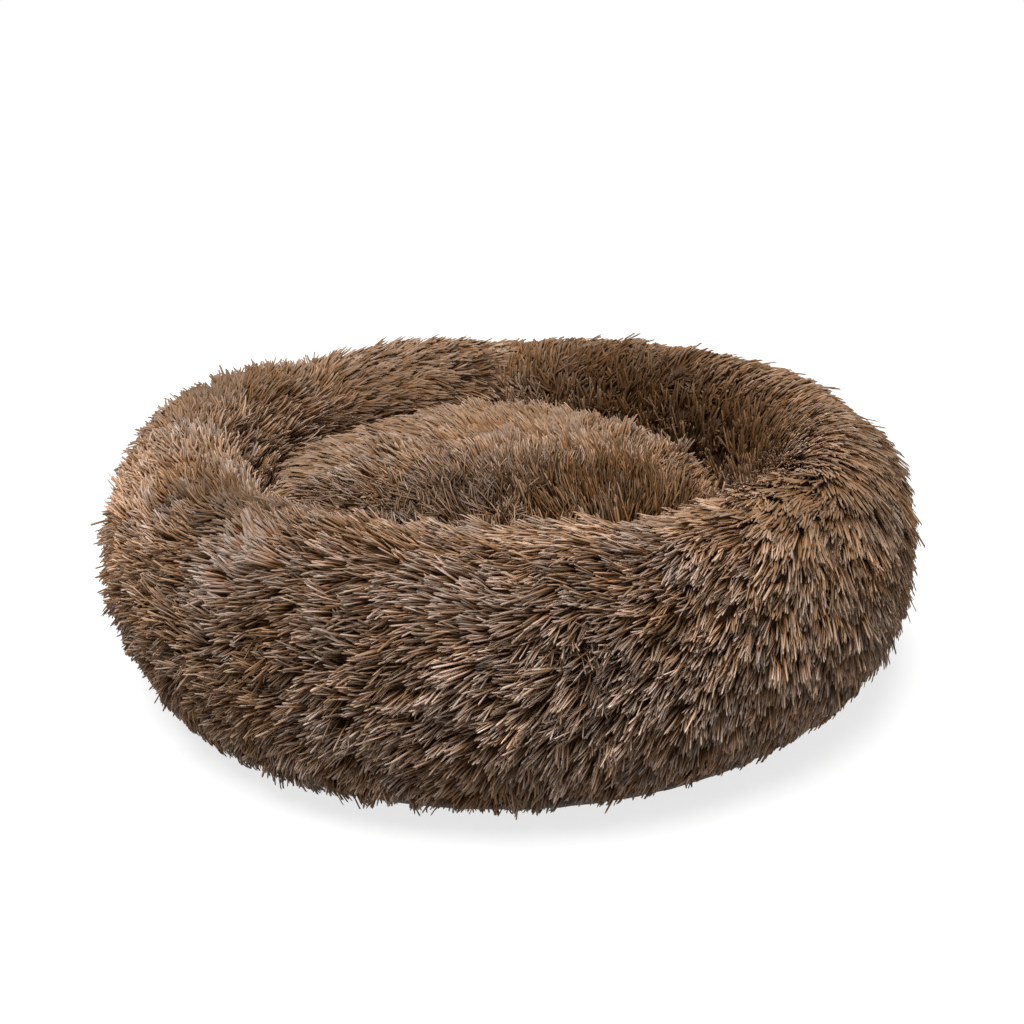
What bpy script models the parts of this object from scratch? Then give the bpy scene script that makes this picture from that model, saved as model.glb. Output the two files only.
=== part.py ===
"""A round plush pet bed: a furry stuffed ring with a loose stuffed cushion in its well.

Metres, +Z up, the origin at the middle of the base on the floor, and the front towards -Y.
The bed is built from the cloth outwards and inwards. A sewn line gives the section of the cloth,
and every layer (pile, tape, bag, filling) is that same line moved out or in, swept round the axis.
"""

import math

import bmesh
import bpy
import numpy as np

# Driving sizes of the ring, outside its pile
BED_DIAMETER = 0.600
BED_HEIGHT = 0.178
RING_WIDTH = 0.119
BELLY_HEIGHT = 0.0895

# The cushion in the well: how much smaller than the well, how far off its middle, how far below the crest
WELL_CLEARANCE = 0.011
CUSHION_SHIFT = 0.006
CROWN_DROP = 0.023
CUSHION_BELLY_HEIGHT = 0.100

# Cloths
PILE = 0.008
BASE_CLOTH = 0.0012
LINING_CLOTH = 0.0012
BAG_CLOTH = 0.0010
SEWN_GAP = 0.0003
BAG_TURN_UP = 0.0025
INNER_HEM_HEIGHT = 0.008
FLAT_RISE = 0.004
SEAM_DIP = 0.004

# Zips: a coil chain of two rows on two tapes
ZIP_HEIGHT = 0.024
CUSHION_ZIP_HEIGHT = 0.040
CHAIN_GAP = 0.0016
COIL_WIDTH = 0.0024
COIL_HEIGHT = 0.0018
TAPE_WIDTH = 0.0122
TAPE_CLOTH = 0.0007
TAPE_SINK = 0.0005
CHANNEL_WIDTH = 0.0100
BINDING_CLOTH = 0.0020
BACK_ROOM = 0.0032
STOP_LENGTH = 0.0030

# Slider and pull
SLIDER_LENGTH = 0.0090
SLIDER_WIDTH = 0.0084
SLIDER_PLATE = 0.0010
SLIDER_FLANGE = 0.0007
SLIDER_POST = 0.0010
EAR_THICKNESS = 0.0008
EAR_LENGTH = 0.0030
PIN_DIAMETER = 0.0010
PIN_PLAY = 0.0003
EYE_WALL = 0.0007
EYE_WIDTH = 0.0024
PULL_WIDTH = 0.0052
PULL_LENGTH = 0.0180
CUT_OVERRUN = 0.0005

# Angles in degrees round the axis from +X, and steps that every layer shares
SEAM_ANGLES = (7.5, 90.0, 135.0, 217.5, 292.5)
PANEL_NAMES = ("right_back", "back", "left", "front", "front_right")
STEP = 7.5
ZIP_STEP = 3.75
CHANNEL_FIRST, CHANNEL_LAST = 15.0, 165.0
ZIP_FIRST, ZIP_LAST = 18.75, 161.25
SEAM_DIP_SPREAD = 9.0
UPPER_TURNS = (0, 18, 36, 54, 72, 90, 108, 126, 144, 162, 180)
BAG_TURNS = (0, 36, 72, 108, 144, 180)
CUSHION_TURNS = (0, 15, 32, 50, 64, 74, 82, 90)
CUSHION_BAG_TURNS = (0, 32, 64, 82, 90)
PIN_SIDES, EYE_SIDES = 8, 12

# Shares and powers of the rounded section lines
LIP_SHARES = (0.55, 0.9)
RING_POWERS = (2.0, 2.5)
CUSHION_POWERS = (2.3, 3.0)


def clear_scene():
    for thing in list(bpy.data.objects):
        bpy.data.objects.remove(thing, do_unlink=True)


def finish(name, colour, roughness, metallic=0.0):
    material = bpy.data.materials.new(name)
    material.use_nodes = True
    shader = material.node_tree.nodes["Principled BSDF"]
    shader.inputs["Base Color"].default_value = (*colour, 1.0)
    shader.inputs["Roughness"].default_value = roughness
    shader.inputs["Metallic"].default_value = metallic
    return material


def add_object(name, mesh, material, parent=None):
    piece = bpy.data.objects.new(name, mesh)
    piece.data.materials.append(material)
    piece.parent = parent
    bpy.context.scene.collection.objects.link(piece)
    return piece


def mesh_from(name, points, faces, sharp_angle=40.0):
    """A closed mesh with its faces turned out, shaded smooth between its sharp edges."""
    mesh = bpy.data.meshes.new(name)
    mesh.from_pydata([tuple(p) for p in points], [], faces)
    shape = bmesh.new()
    shape.from_mesh(mesh)
    bmesh.ops.recalc_face_normals(shape, faces=shape.faces)
    shape.to_mesh(mesh)
    shape.free()
    mesh.shade_smooth()
    mesh.set_sharp_from_angle(angle=math.radians(sharp_angle))
    return mesh


class SewnLine:
    """The section line of sewn cloth, as a superellipse whose lower half is squarer than its upper half.

    A place on it is a turn in degrees: 0 at the outer belly, 90 at the crest, 180 at the inner belly
    and -90 or 270 on the base. Each layer of the ring lies at its own offset along the line's normal.
    """

    def __init__(self, middle, belly, half_width, rise, drop, powers):
        self.middle, self.belly, self.half_width = middle, belly, half_width
        self.rise, self.drop, self.powers = rise, drop, powers

    def point(self, turn, offset, dip=0.0):
        """(radius, height) at a turn, moved out by offset. A dip lowers the upper half."""
        across, up = math.cos(math.radians(turn)), math.sin(math.radians(turn))
        if abs(turn) == 90:
            across = 0.0
        reach, power = self.half_width, 2 / self.powers[0 if up >= 0 else 1]
        height = self.rise - dip if up >= 0 else self.drop
        radius = self.middle + reach * math.copysign(abs(across) ** power, across)
        z = self.belly + height * math.copysign(abs(up) ** power, up)
        normal = np.array([math.copysign(abs(across) ** (2 - power), across) / reach,
                           math.copysign(abs(up) ** (2 - power), up) / height])
        normal /= np.linalg.norm(normal)
        return radius + offset * normal[0], z + offset * normal[1]

    def turn_at_height(self, height, inner=False):
        """The turn of the lower half at a height, on the outer or the inner side."""
        share = (self.belly - height) / self.drop
        turn = math.degrees(math.asin(share ** (self.powers[1] / 2)))
        return 180 + turn if inner else -turn

    def turn_beside(self, turn, along):
        """The turn that lies a small length along the cloth from another."""
        nudge = 0.01
        ahead, behind = self.point(turn + nudge, 0), self.point(turn - nudge, 0)
        return turn + along * 2 * nudge / math.dist(ahead, behind)

    def frame(self, turn):
        """Origin, direction up along the cloth, and outward normal at a turn, in the section's plane."""
        nudge = 0.01
        origin, out = np.array(self.point(turn, 0)), np.array(self.point(turn, BAG_CLOTH))
        up = np.array(self.point(turn + nudge, 0)) - np.array(self.point(turn - nudge, 0))
        return origin, up / np.linalg.norm(up), (out - origin) / np.linalg.norm(out - origin)


def sweep(name, outline_at, angles, material, parent=None):
    """Sweeps a closed outline of (radius, height) points round the Z axis through the angles.

    A whole turn joins up, and a part turn is capped. Points on the axis are shared by all angles.
    """
    whole = abs(angles[-1] - angles[0] - 360) < 1e-6
    stations = angles[:-1] if whole else angles
    points, rows, on_axis = [], [], {}
    for angle in stations:
        c, s, row = math.cos(math.radians(angle)), math.sin(math.radians(angle)), []
        for k, (radius, z) in enumerate(outline_at(angle)):
            if radius == 0 and k in on_axis:
                row.append(on_axis[k])
                continue
            if radius == 0:
                on_axis[k] = len(points)
            row.append(len(points))
            points.append((radius * c, radius * s, z))
        rows.append(row)
    faces = []
    for this, following in zip(rows, rows[1:] + rows[:1] if whole else rows[1:]):
        for k in range(len(this)):
            after = (k + 1) % len(this)
            corners = [this[k], following[k], following[after], this[after]]
            corners = [c for n, c in enumerate(corners) if c not in corners[:n]]
            if len(corners) > 2:
                faces.append(corners)
    if not whole:
        faces += [rows[0], rows[-1]]
    return add_object(name, mesh_from(name, points, faces), material, parent)


def layer(line, turns, outer, inner, dip=0.0):
    """The outline of one layer: out along the turns at the outer offsets, back at the inner ones."""
    outside = [line.point(t, o, dip) for t, o in zip(turns, outer)]
    inside = [line.point(t, i, dip) for t, i in zip(turns, inner)]
    return outside + inside[::-1]


def disc(radius, low, high):
    return [(0, low), (radius, low), (radius, high), (0, high)]


def circle(first=0.0, last=360.0, step=STEP):
    return list(np.linspace(first, last, round((last - first) / step) + 1))


def crest_dip(angle):
    """How far the seams draw the crest of the ring in, at an angle."""
    away = [(angle - seam + 180) % 360 - 180 for seam in SEAM_ANGLES]
    return SEAM_DIP * sum(math.exp(-((a / SEAM_DIP_SPREAD) ** 2)) for a in away)


def pile_offsets(count):
    """The pile's thickness at each turn, rounded off at both hems."""
    first = [share * PILE for share in LIP_SHARES]
    return first + [PILE] * (count - 2 * len(first)) + first[::-1]


def box_points(lengths, widths, heights):
    return [(x, y, z) for x in lengths for y in widths for z in heights]


BOX_FACES = [(0, 1, 3, 2), (4, 6, 7, 5), (0, 4, 5, 1), (2, 3, 7, 6), (0, 2, 6, 4), (1, 5, 7, 3)]


def prism(outline, low, high):
    """(points, faces) of a flat outline in the first two coordinates, between two values of the third."""
    count = len(outline)
    points = [(*p, low) for p in outline] + [(*p, high) for p in outline]
    sides = [(k, (k + 1) % count, (k + 1) % count + count, k + count) for k in range(count)]
    return points, sides + [tuple(range(count)), tuple(range(count, 2 * count))]


def bow_points(middle, radius, steps):
    """A half circle that bulges towards the first coordinate."""
    angles = np.radians(np.linspace(-90, 90, steps + 1))
    return [(middle + radius * math.cos(a), radius * math.sin(a)) for a in angles]


def round_points(height, radius, sides):
    angles = 2 * math.pi * np.arange(sides) / sides
    return [(radius * math.cos(a), height + radius * math.sin(a)) for a in angles]


def fuse(piece, points, faces):
    """Joins a helper shape to a piece, in the piece's own coordinates."""
    helper = bpy.data.objects.new(piece.name + "_helper", mesh_from("helper", points, faces))
    bpy.context.scene.collection.objects.link(helper)
    helper.hide_render = True
    helper.display_type = "WIRE"
    helper.parent = piece
    modifier = piece.modifiers.new("fused", "BOOLEAN")
    modifier.operation = "UNION"
    modifier.solver = "EXACT"
    modifier.object = helper


class Zip:
    """A zip that runs round the axis in the plane where a sewn line has one turn.

    Its parts are drawn in the tape's own frame: up along the cloth, out from it, and round the axis.
    """

    def __init__(self, name, line, height, parent, finishes):
        self.name, self.line, self.parent = name, line, parent
        self.tape_finish, self.coil_finish, self.metal_finish = finishes
        self.turn = line.turn_at_height(height)
        self.origin, self.up, self.out = line.frame(self.turn)
        self.radius = self.origin[0]
        self.coil_low = SEWN_GAP - TAPE_SINK
        self.coil_high = self.coil_low + COIL_HEIGHT
        self.tape_low = -TAPE_SINK - TAPE_CLOTH
        self.play = math.degrees(SEWN_GAP / self.radius)
        self.rest = ZIP_FIRST + math.degrees(SLIDER_LENGTH / 2 / self.radius) + 2 * self.play

    def place(self, up, out):
        radius, z = self.origin + up * self.up + out * self.out
        return radius, z

    def edge_turn(self, side):
        """The turn of the cloth's hem on one side of the chain: -1 below it, 1 above it."""
        return self.line.turn_beside(self.turn, side * CHANNEL_WIDTH / 2)

    def tape_turn(self, side):
        return self.line.turn_beside(self.turn, side * (CHAIN_GAP / 2 + TAPE_WIDTH))

    def strip(self, name, corners, first, last, material, step=ZIP_STEP):
        outline = [self.place(*corner) for corner in corners]
        angles = circle(first, last, step)
        sweep(self.name + name, lambda angle: outline, angles, material, self.parent)

    def tape(self, name, side):
        """Flat under the slider, then bent to the cloth that it is sewn behind."""
        turn = self.tape_turn(side)
        bend = side * (SLIDER_WIDTH / 2 + SEWN_GAP)
        start = side * CHAIN_GAP / 2
        outline = [self.place(start, -TAPE_SINK), self.place(bend, -TAPE_SINK),
                   self.line.point(turn, -TAPE_SINK), self.line.point(turn, self.tape_low),
                   self.place(bend, self.tape_low), self.place(start, self.tape_low)]
        angles = circle(CHANNEL_FIRST, CHANNEL_LAST, ZIP_STEP)
        angles[0] += self.play / 2
        angles[-1] -= self.play / 2
        sweep(self.name + name, lambda angle: outline, angles, self.tape_finish, self.parent)

    def build_chain(self):
        stop = math.degrees(STOP_LENGTH / self.radius)
        low, high = self.coil_low, self.coil_high
        for name, side in (("_upper", 1), ("_lower", -1)):
            near, far = side * CHAIN_GAP / 2, side * (CHAIN_GAP / 2 + COIL_WIDTH)
            self.tape("_tape" + name, side)
            corners = ((near, low), (far, low), (far, high), (near, high))
            self.strip("_coil" + name, corners, ZIP_FIRST, ZIP_LAST, self.coil_finish)
        edge = CHAIN_GAP / 2 + COIL_WIDTH
        corners = ((-edge, low), (edge, low), (edge, high), (-edge, high))
        before, after = ZIP_FIRST - self.play, ZIP_LAST + self.play
        self.strip("_start_stop", corners, before - stop, before, self.metal_finish, stop)
        self.strip("_end_stop", corners, after, after + stop, self.metal_finish, stop)

    def in_world(self, points):
        """Points given as (round, up, out) on the slider as it would stand at angle 0, where round is +Y."""
        made = []
        for around, up, out in points:
            radius, z = self.place(up, out)
            made.append((radius, around, z))
        return made

    def build_slider(self):
        """Two plates on a post that runs between the rows, with ears and a pin for the pull."""
        half, plate = SLIDER_WIDTH / 2, SLIDER_PLATE
        top = self.coil_high + SEWN_GAP
        back = self.tape_low - SEWN_GAP
        skirt = self.coil_low + SEWN_GAP
        inner, post = half - SLIDER_FLANGE, SLIDER_POST / 2
        right = [(half, top + plate), (half, skirt), (inner, skirt), (inner, top), (post, top),
                 (post, back), (half, back), (half, back - plate)]
        profile = right + [(-up, out) for up, out in reversed(right)]
        points, faces = prism(profile, -SLIDER_LENGTH / 2, SLIDER_LENGTH / 2)
        points = self.in_world([(around, up, out) for up, out, around in points])
        slider = add_object(self.name + "_slider", mesh_from("slider", points, faces),
                            self.metal_finish, self.parent)
        slider.rotation_euler = (0, 0, math.radians(self.rest))
        eye = PIN_DIAMETER / 2 + PIN_PLAY + EYE_WALL
        self.pin = top + plate + eye + PIN_PLAY
        ear_low, ear_high = top + plate - CUT_OVERRUN, self.pin + PIN_DIAMETER
        near = EYE_WIDTH / 2 + PIN_PLAY
        for side in (-1, 1):
            sides = sorted((side * near, side * (near + EAR_THICKNESS)))
            ear = box_points((-EAR_LENGTH / 2, EAR_LENGTH / 2), sides, (ear_low, ear_high))
            fuse(slider, self.in_world(ear), BOX_FACES)
        rim = round_points(self.pin, PIN_DIAMETER / 2, PIN_SIDES)
        reach = near + EAR_THICKNESS / 2
        points, faces = prism(rim, -reach, reach)
        pin = self.in_world([(around, up, out) for around, out, up in points])
        fuse(slider, pin, faces)
        return slider

    def build_pull(self, slider):
        """A tab that grows out of an eye on the slider's pin. It lies back along the chain.

        The eye's rim is a ring of flats, and the tab is as thick as the foremost two are tall.
        """
        hole, neck, wide = PIN_DIAMETER / 2 + PIN_PLAY, EYE_WIDTH / 2, PULL_WIDTH / 2
        rim = round_points(0, hole + EYE_WALL, EYE_SIDES)[1:]
        bore = round_points(0, hole, EYE_SIDES)
        thick, shoulder = rim[0][1], EAR_LENGTH / 2 + EYE_WALL
        bow = bow_points(PULL_LENGTH - wide, wide, PIN_SIDES)
        outline = [(shoulder, -neck), (shoulder + neck, -wide), *bow]
        outline += [(shoulder + neck, wide), (shoulder, neck)]
        points = [(around, up, out) for up in (-neck, neck) for around, out in rim + bore]
        points += [(around, up, out) for out in (thick, -thick) for around, up in outline]

        rims, eye, tab = len(rim), len(rim + bore), len(outline)
        faces = [(k, k + 1, k + 1 + eye, k + eye) for k in range(rims - 1)]
        for k in range(rims, eye):
            after = k + 1 if k + 1 < eye else rims
            faces.append((k, after, after + eye, k + eye))
        for side in (0, eye):
            inner = side + rims
            faces += [(side + k, side + k + 1, inner + k + 2, inner + k + 1) for k in range(rims - 1)]
            faces.append((side, inner + 1, inner, side + eye - 1, inner - 1))
        front = [0, *range(2 * eye, 2 * eye + tab), eye]
        back = [rims - 1, *range(2 * eye + tab, 2 * eye + 2 * tab), eye + rims - 1]
        faces += [tuple(front), tuple(back)]
        faces += [(front[k], front[k + 1], back[k + 1], back[k]) for k in range(tab + 1)]

        radius, z = self.place(0, self.pin)
        middle = np.array((radius, 0, z))
        placed = self.in_world([(around, up, self.pin + out) for around, up, out in points])
        pull = add_object(self.name + "_pull", mesh_from("pull", np.array(placed) - middle, faces),
                          self.metal_finish, slider)
        pull.location = middle


def build_bolster(finishes):
    half_width = RING_WIDTH / 2 - PILE
    line = SewnLine(BED_DIAMETER / 2 - RING_WIDTH / 2, BELLY_HEIGHT, half_width,
                    BED_HEIGHT - PILE - BELLY_HEIGHT, BELLY_HEIGHT - BASE_CLOTH - SEWN_GAP, RING_POWERS)
    fastener = Zip("cover_zip", line, ZIP_HEIGHT, None, finishes["zip"])
    fastener.build_chain()
    fastener.build_pull(fastener.build_slider())

    upper, tape = fastener.edge_turn(1), fastener.tape_turn(1)
    hem = line.turn_at_height(INNER_HEM_HEIGHT, inner=True)
    turns = [upper, tape, *UPPER_TURNS, (180 + hem) / 2, hem]
    outer = pile_offsets(len(turns))
    inner = [SEWN_GAP] * len(turns)
    seam_gap = math.degrees(SEWN_GAP / 2 / (BED_DIAMETER / 2 - RING_WIDTH))
    for k, name in enumerate(PANEL_NAMES):
        first = SEAM_ANGLES[k]
        last = SEAM_ANGLES[(k + 1) % len(SEAM_ANGLES)]
        last += 360 if last < first else 0
        angles = circle(first, last)
        angles[0] += seam_gap
        angles[-1] -= seam_gap
        sweep("fur_panel_" + name, lambda a: layer(line, turns, outer, inner, crest_dip(a)),
              angles, finishes["fur"])

    base_turn = line.turn_at_height(BAG_TURN_UP)
    base_edge = line.point(base_turn, SEWN_GAP)[0]
    sweep("base_fabric", lambda a: disc(base_edge, 0, BASE_CLOTH), circle(), finishes["base"])
    low = BASE_CLOTH + SEWN_GAP
    high = low + LINING_CLOTH
    tucked = line.point(line.turn_at_height(high + 2 * SEWN_GAP, inner=True), 0)[0]
    sweep("well_floor", lambda a: disc(tucked, low, high), circle(), finishes["lining"])

    under, lower = fastener.tape_turn(-1), fastener.edge_turn(-1)
    band = [line.turn_beside(base_turn, SEWN_GAP), under, lower]
    outline = layer(line, band, [SEWN_GAP + BASE_CLOTH] * 3, [SEWN_GAP] * 3)
    sweep("base_side_band", lambda a: outline, circle(), finishes["base"])
    bind_channel(fastener, "seam_binding", finishes["binding"], None)

    lower_turns = [180, (180 + hem) / 2, hem, 270, 360 + under, 360 + tape, 360]
    sink = [SEWN_GAP] * 4 + [BACK_ROOM] * 2 + [SEWN_GAP]
    bolster_bag(line, lower_turns, sink, finishes)


def bind_channel(fastener, name, material, parent):
    """The tape over the seam, round the rest of the channel that the zip leaves."""
    reach, half = CHANNEL_WIDTH / 2 - SEWN_GAP, BINDING_CLOTH / 2
    outline = [fastener.place(*corner)
               for corner in ((-reach, -half), (reach, -half), (reach, half), (-reach, half))]
    angles = circle(CHANNEL_LAST, CHANNEL_FIRST + 360)
    angles[0] += fastener.play / 2
    angles[-1] -= fastener.play / 2
    sweep(name, lambda angle: outline, angles, material, parent)


def bolster_bag(line, lower, sink, finishes):
    """The two halves of the ring's inner bag and the filling in them, nested by one gap each."""
    cloth, gap = BAG_CLOTH, SEWN_GAP
    top = [line.turn_beside(0, gap / 2), *BAG_TURNS[1:-1], line.turn_beside(180, -gap / 2)]
    outer, inner = [-gap] * len(top), [-gap - cloth] * len(top)
    sweep("bolster_bag_upper", lambda a: layer(line, top, outer, inner, crest_dip(a)),
          circle(), finishes["bag"])
    bottom = [line.turn_beside(180, gap / 2), *lower[1:-1], 360 + line.turn_beside(0, -gap / 2)]
    under = layer(line, bottom, [-s for s in sink], [-s - cloth for s in sink])
    sweep("bolster_bag_lower", lambda a: under, circle(), finishes["bag"])
    turns = [*BAG_TURNS[:-1], *lower[:-1]]
    inset = [2 * gap + cloth] * (len(BAG_TURNS) - 1) + [s + cloth + gap for s in sink[:-1]]
    sweep("bolster_fill", lambda a: [line.point(t, -i, crest_dip(a)) for t, i in zip(turns, inset)],
          circle(), finishes["fill"])


def build_cushion(finishes):
    radius = BED_DIAMETER / 2 - RING_WIDTH - WELL_CLEARANCE
    rest = BASE_CLOTH + LINING_CLOTH + 2 * SEWN_GAP
    low = rest + LINING_CLOTH + SEWN_GAP
    line = SewnLine(0.0, CUSHION_BELLY_HEIGHT, radius - PILE,
                    BED_HEIGHT - CROWN_DROP - PILE - CUSHION_BELLY_HEIGHT,
                    CUSHION_BELLY_HEIGHT - low, CUSHION_POWERS)
    lift = bpy.data.objects.new("cushion_lift", None)
    lift.location = (-CUSHION_SHIFT, 0, 0)
    bpy.context.scene.collection.objects.link(lift)
    fastener = Zip("cushion_zip", line, CUSHION_ZIP_HEIGHT, lift, finishes["zip"])
    fastener.build_chain()
    fastener.build_pull(fastener.build_slider())

    upper, tape = fastener.edge_turn(1), fastener.tape_turn(1)
    turns = [upper, tape, *CUSHION_TURNS]
    outer = pile_offsets(2 * len(turns))[:len(turns)]
    outline = layer(line, turns, outer, [SEWN_GAP] * len(turns))
    sweep("cushion_fur_top", lambda a: outline, circle(), finishes["fur"], lift)

    under, lower = fastener.tape_turn(-1), fastener.edge_turn(-1)
    flat_turn = line.turn_at_height(low + FLAT_RISE)
    sheet = [-90, flat_turn, under, lower]
    outline = layer(line, sheet, [SEWN_GAP + LINING_CLOTH] * 4, [SEWN_GAP] * 4)
    sweep("cushion_lining", lambda a: outline, circle(), finishes["lining"], lift)
    bind_channel(fastener, "cushion_seam_binding", finishes["binding"], lift)

    lower_turns = [-90, flat_turn, under, tape, 0]
    sink = [SEWN_GAP] * 2 + [BACK_ROOM] * 2 + [SEWN_GAP]
    cushion_bag(line, lower_turns, sink, lift, finishes)


def cushion_bag(line, lower, sink, lift, finishes):
    cloth, gap = BAG_CLOTH, SEWN_GAP
    top = [line.turn_beside(0, gap / 2), *CUSHION_BAG_TURNS[1:]]
    outline = layer(line, top, [-gap] * len(top), [-gap - cloth] * len(top))
    sweep("cushion_bag_upper", lambda a: outline, circle(), finishes["bag"], lift)
    bottom = [*lower[:-1], line.turn_beside(0, -gap / 2)]
    under = layer(line, bottom, [-s for s in sink], [-s - cloth for s in sink])
    sweep("cushion_bag_lower", lambda a: under, circle(), finishes["bag"], lift)
    turns = list(lower) + list(CUSHION_BAG_TURNS[1:])
    inset = [s + cloth + gap for s in sink] + [2 * gap + cloth] * (len(CUSHION_BAG_TURNS) - 1)
    body = [line.point(t, -i) for t, i in zip(turns, inset)]
    sweep("cushion_fill", lambda a: body, circle(), finishes["fill"], lift)


def main():
    clear_scene()
    tape = finish("tape", (0.10, 0.065, 0.045), 0.85)
    coil = finish("coil", (0.12, 0.08, 0.055), 0.45)
    metal = finish("slider_metal", (0.62, 0.60, 0.56), 0.35, 1.0)
    finishes = {
        "fur": finish("fur", (0.17, 0.105, 0.068), 0.9),
        "lining": finish("lining", (0.13, 0.085, 0.06), 0.85),
        "base": finish("base", (0.075, 0.055, 0.045), 0.8),
        "binding": finish("binding", (0.11, 0.075, 0.052), 0.85),
        "bag": finish("bag", (0.80, 0.79, 0.76), 0.9),
        "fill": finish("fill", (0.88, 0.88, 0.87), 1.0),
        "zip": (tape, coil, metal),
    }
    build_bolster(finishes)
    build_cushion(finishes)


main()
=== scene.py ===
import math

import bmesh
import bpy
import numpy as np
from mathutils import Matrix, Vector


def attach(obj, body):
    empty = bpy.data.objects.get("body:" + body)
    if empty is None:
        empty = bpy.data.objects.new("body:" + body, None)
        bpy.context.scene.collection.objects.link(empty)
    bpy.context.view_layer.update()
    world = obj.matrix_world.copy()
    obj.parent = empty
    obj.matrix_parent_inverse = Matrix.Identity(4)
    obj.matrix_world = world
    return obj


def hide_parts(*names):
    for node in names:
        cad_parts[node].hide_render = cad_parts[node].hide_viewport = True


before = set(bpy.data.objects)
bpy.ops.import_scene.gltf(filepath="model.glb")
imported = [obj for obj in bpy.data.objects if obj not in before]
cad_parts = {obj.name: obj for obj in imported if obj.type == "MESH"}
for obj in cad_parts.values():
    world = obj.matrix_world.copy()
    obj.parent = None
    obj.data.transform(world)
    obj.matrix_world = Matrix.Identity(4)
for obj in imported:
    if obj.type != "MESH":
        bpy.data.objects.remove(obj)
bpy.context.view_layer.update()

scene = bpy.context.scene

# The camera, before the bed at about an adult's knee height and tilted down. Its place and turn were
# fitted to the ring's outline and inner rim.
CAMERA_PLACE = (0.0, -0.942, 0.468)
CAMERA_DOWN, CAMERA_ASIDE, CAMERA_ROLL = map(math.radians, (21.46, 0.2, -1.14))
FOCAL_PIXELS, PICTURE_PIXELS, SENSOR = 1300.0, 1024.0, 36.0

camera = bpy.data.objects.new("camera", bpy.data.cameras.new("camera"))
camera.data.sensor_width = SENSOR
camera.data.lens = SENSOR * FOCAL_PIXELS / PICTURE_PIXELS
ahead = Vector((math.sin(CAMERA_ASIDE) * math.cos(CAMERA_DOWN),
                math.cos(CAMERA_ASIDE) * math.cos(CAMERA_DOWN), -math.sin(CAMERA_DOWN)))
level = Vector((math.cos(CAMERA_ASIDE), -math.sin(CAMERA_ASIDE), 0))
upright = level.cross(ahead)
right = level * math.cos(CAMERA_ROLL) + upright * math.sin(CAMERA_ROLL)
over = upright * math.cos(CAMERA_ROLL) - level * math.sin(CAMERA_ROLL)
camera.matrix_world = Matrix.Translation(CAMERA_PLACE) @ Matrix((right, over, -ahead)).transposed().to_4x4()
scene.collection.objects.link(camera)
scene.camera = camera


class Shade:
    """A socket of a material's nodes, which sums and products can be written with.

    Arithmetic adds Math nodes, mix and times work on colours, and node adds any other kind.
    """

    def __init__(self, tree, socket=None):
        self.tree, self.socket = tree, socket

    def node(self, kind, settings=None, inputs=None, output=0):
        """Adds a node: its settings first, with a ramp's stops as (place, grey), then its inputs."""
        made = self.tree.nodes.new("ShaderNode" + kind)
        for name, value in (settings or {}).items():
            if name == "stops":
                ramp = made.color_ramp.elements
                for k, (place, grey) in enumerate(value):
                    stop = ramp[k] if k < 2 else ramp.new(place)
                    stop.position, stop.color = place, (grey, grey, grey, 1)
            else:
                setattr(made, name, value)
        for key, value in (inputs or {}).items():
            if isinstance(value, Shade):
                self.tree.links.new(value.socket, made.inputs[key])
            else:
                made.inputs[key].default_value = value
        return Shade(self.tree, made.outputs[output])

    def maths(self, operation, first, second):
        return self.node("Math", {"operation": operation}, {0: first, 1: second})

    def __add__(self, other):
        return self.maths("ADD", self, other)

    def __sub__(self, other):
        return self.maths("SUBTRACT", self, other)

    def __rsub__(self, other):
        return self.maths("SUBTRACT", other, self)

    def __mul__(self, other):
        return self.maths("MULTIPLY", self, other)

    __radd__, __rmul__ = __add__, __mul__

    def mix(self, low, high):
        """The colour low where this socket is 0 and high where it is 1."""
        return self.node("Mix", {"data_type": "RGBA"}, {0: self, 6: low, 7: high}, 2)

    def times(self, colour):
        """A colour multiplied by this socket's grey."""
        whole = {"data_type": "RGBA", "blend_type": "MULTIPLY"}
        return self.node("Mix", whole, {0: 1.0, 6: colour, 7: self}, 2)

    def wave(self, period):
        """A sine wave of this socket, between 0 and 1."""
        return self.maths("SINE", self * (2 * math.pi / period), 0.0) * 0.5 + 0.5

    def mark(self, name):
        """A number that the mesh keeps at each of its points or corners."""
        return self.node("Attribute", {"attribute_name": name}, output=2)

    def noise(self, scale, detail, **more):
        """Chance grey that keeps its place on the piece."""
        place = self.node("TexCoord", output=3)
        return self.node("TexNoise", {}, {"Vector": place, "Scale": scale, "Detail": detail, **more})

    def bump(self, strength, distance):
        """This socket as relief: the height of the deepest part is the distance."""
        values = {"Strength": strength, "Distance": distance, "Height": self}
        self.node("Bump", {}, values).feed("Normal")

    def feed(self, socket):
        """Links this socket to the material's shader."""
        self.tree.links.new(self.socket, self.tree.nodes["Principled BSDF"].inputs[socket])


def new_material(name, fixed):
    """A material whose shader has these fixed values, and a Shade to write its nodes with."""
    material = bpy.data.materials.new(name)
    material.use_nodes = True
    for socket, value in fixed.items():
        material.node_tree.nodes["Principled BSDF"].inputs[socket].default_value = value
    return material, Shade(material.node_tree)


# The studio: a plain pale floor under an even white sky, with one large soft lamp overhead.
# To the camera alone the floor is lit up a little more, so that it runs into the white behind it.
FLOOR_HALF = 6.0
FLOOR_COLOUR = (0.33, 0.328, 0.325, 1)
FLOOR_GLOW = (0.75, 0.75, 0.75, 1)
SKY_STRENGTH = 0.20
LAMP_STRENGTH = 3.5
LAMP_SPREAD = math.radians(36)
LAMP_FROM = Vector((-0.17, -0.16, 1.0))


def seen_directly(shade):
    """1 on rays from the camera, off a mirror or through glass, and 0 on all others."""
    camera_ray, glossy_ray, through_ray = (shade.node("LightPath", output=k) for k in (0, 3, 6))
    return shade.maths("MINIMUM", camera_ray + glossy_ray + through_ray, 1.0)


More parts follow.
